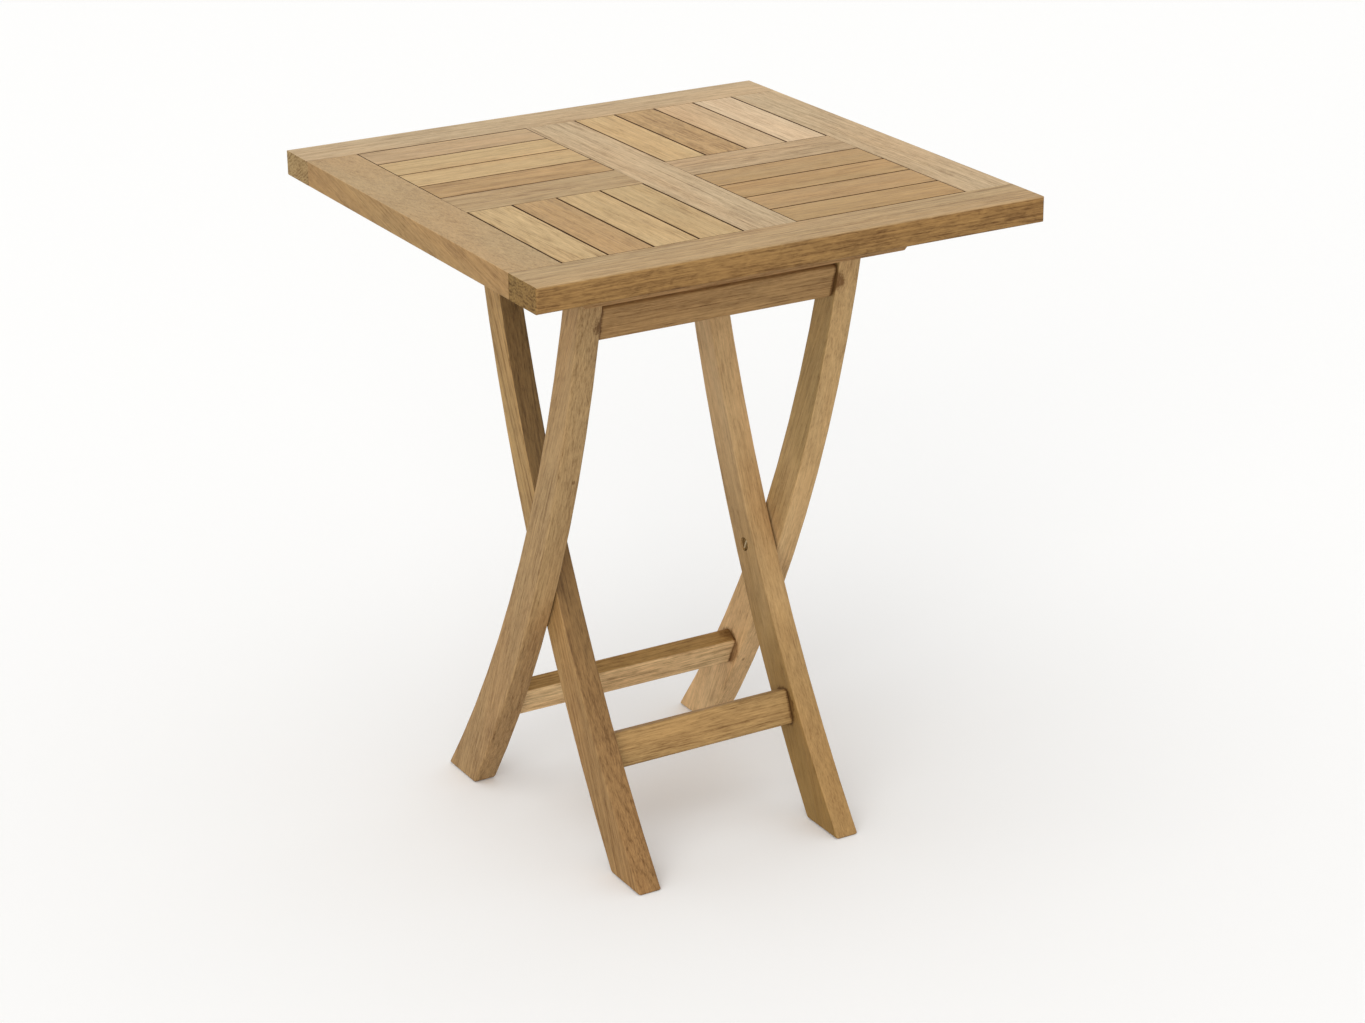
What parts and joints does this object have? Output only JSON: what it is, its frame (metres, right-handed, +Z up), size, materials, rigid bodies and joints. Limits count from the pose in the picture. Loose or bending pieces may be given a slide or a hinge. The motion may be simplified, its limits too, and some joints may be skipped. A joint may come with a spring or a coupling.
{
  "type": "folding picnic table",
  "caption": "Square slatted wooden table top on a pair of crossed curved leg frames, with a tilting top and a closing leg scissor.",
  "frame": {"origin": "on the floor under the centre of the open table's top", "axes": "+Z up, +X along the front edge to the right, +Y from the front edge to the back edge"},
  "size_m": [0.6, 0.6, 0.75],
  "materials": {
    "frame_teak": "sanded, unoiled teak, straight grain",
    "slat_teak": "sanded, unoiled teak, tone varies from slat to slat",
    "leg_teak": "sanded, unoiled teak, slightly darker than the top",
    "fixing_steel": "stainless fixings",
    "insert_brass": "dull brass"
  },
  "bodies": {
    "inner_frame": {"inner_bottom_rail": "leg_teak", "inner_leg_left": "leg_teak", "inner_leg_right": "leg_teak", "inner_top_rail": "leg_teak", "scissor_washer_left": "fixing_steel", "scissor_washer_right": "fixing_steel"},
    "outer_frame": {"outer_bottom_rail": "leg_teak", "outer_leg_left": "leg_teak", "outer_leg_right": "leg_teak", "outer_top_rail": "leg_teak", "scissor_bolt_left": "fixing_steel", "scissor_bolt_right": "fixing_steel", "scissor_insert_left": "insert_brass", "scissor_insert_right": "insert_brass"},
    "tabletop": {"back_rail": "frame_teak", "catch_rail": "leg_teak", "catch_screw_1": "fixing_steel", "catch_screw_2": "fixing_steel", "catch_screw_3": "fixing_steel", "catch_screw_4": "fixing_steel", "centre_stile": "frame_teak", "front_rail": "frame_teak", "hinge_bolt_left": "fixing_steel", "hinge_bolt_right": "fixing_steel", "hinge_insert_left": "insert_brass", "hinge_insert_right": "insert_brass", "hinge_rail": "leg_teak", "hinge_screw_1": "fixing_steel", "hinge_screw_2": "fixing_steel", "hinge_screw_3": "fixing_steel", "hinge_screw_4": "fixing_steel", "hinge_washer_left": "fixing_steel", "hinge_washer_right": "fixing_steel", "left_middle_rail": "frame_teak", "left_stile": "frame_teak", "right_middle_rail": "frame_teak", "right_stile": "frame_teak", "slat_back_left_1": "slat_teak", "slat_back_left_2": "slat_teak", "slat_back_left_3": "slat_teak", "slat_back_left_4": "slat_teak", "slat_back_right_1": "slat_teak", "slat_back_right_2": "slat_teak", "slat_back_right_3": "slat_teak", "slat_back_right_4": "slat_teak", "slat_front_left_1": "slat_teak", "slat_front_left_2": "slat_teak", "slat_front_left_3": "slat_teak", "slat_front_left_4": "slat_teak", "slat_front_right_1": "slat_teak", "slat_front_right_2": "slat_teak", "slat_front_right_3": "slat_teak", "slat_front_right_4": "slat_teak"}
  },
  "joints": [
    {"name": "top_tilt", "type": "hinge", "parent": "inner_frame", "child": "tabletop", "pos_m": [0, 0.1384, 0.6995], "axis": [-1, 0, 0], "range_deg": [0, 104]},
    {"name": "leg_scissor", "type": "hinge", "parent": "inner_frame", "child": "outer_frame", "pos_m": [0, 0.004, 0.2915], "axis": [-1, 0, 0], "range_deg": [0, 34]}
  ]
}
